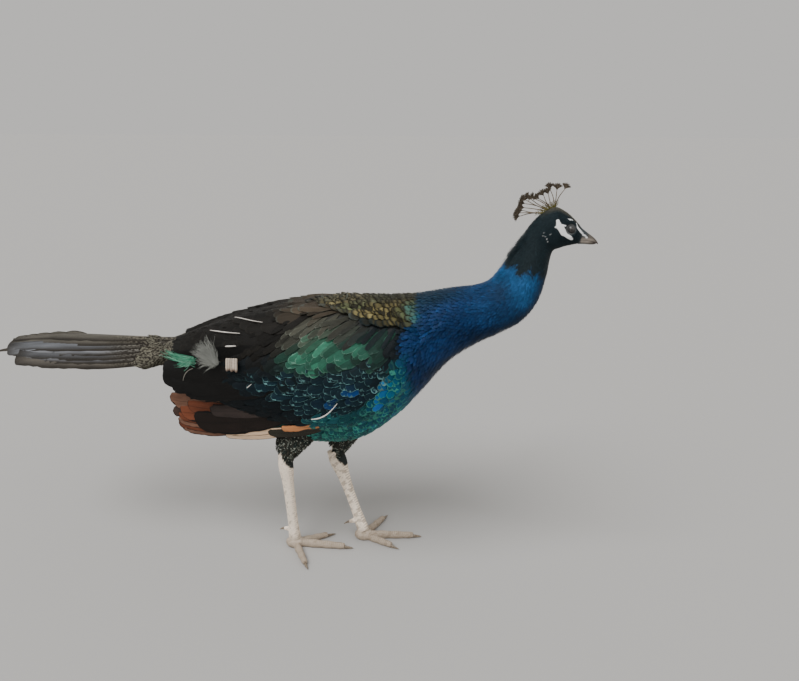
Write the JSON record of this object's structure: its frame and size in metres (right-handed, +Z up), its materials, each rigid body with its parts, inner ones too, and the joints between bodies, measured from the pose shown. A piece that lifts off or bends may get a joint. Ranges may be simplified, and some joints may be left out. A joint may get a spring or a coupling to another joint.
{
  "type": "peacock",
  "caption": "Life-size Indian peafowl cock in moult, without its train, standing in mid-stride with a fan crest, folded wings and a folded tail.",
  "frame": {"origin": "on the floor, in the middle of the bird's bounding box seen from above", "axes": "+X the way the bird walks, +Y its left, +Z up"},
  "size_m": [0.9686, 0.206, 0.6172],
  "materials": {
    "plumage_back": "overlapping green-bronze and teal feathers",
    "plumage_neck": "short glossy blue feathers",
    "plumage_head": "short velvety black-green feathers with white patches",
    "plumage_wing": "blackish wing coverts with a green sheen",
    "feather_flight": "dark brown and chestnut flight feathers",
    "feather_tail": "worn grey-brown tail feathers with pale shafts",
    "feather_crest": "thin stalks with brown fan-shaped tips",
    "leg_skin": "pale scaly skin",
    "horn": "horn of bill and claws",
    "eye": "wet dark eye"
  },
  "bodies": {
    "root": {"trunk": "plumage_back", "neck_lower": "plumage_neck", "neck_upper": "plumage_neck", "head": "plumage_head", "bill_upper": "horn", "bill_lower": "horn", "eye_left": "eye", "eye_right": "eye", "crest": "feather_crest", "wing_left": "plumage_wing", "wing_right": "plumage_wing", "flight_feathers_left": "feather_flight", "flight_feathers_right": "feather_flight", "tail": "feather_tail", "thigh_left": "plumage_back", "thigh_right": "plumage_back", "shank_left": "leg_skin", "shank_right": "leg_skin", "foot_left": "leg_skin", "foot_right": "leg_skin", "claw_left_middle": "horn", "claw_left_outer": "horn", "claw_left_inner": "horn", "claw_left_hind": "horn", "claw_right_middle": "horn", "claw_right_outer": "horn", "claw_right_inner": "horn", "claw_right_hind": "horn"}
  },
  "joints": []
}
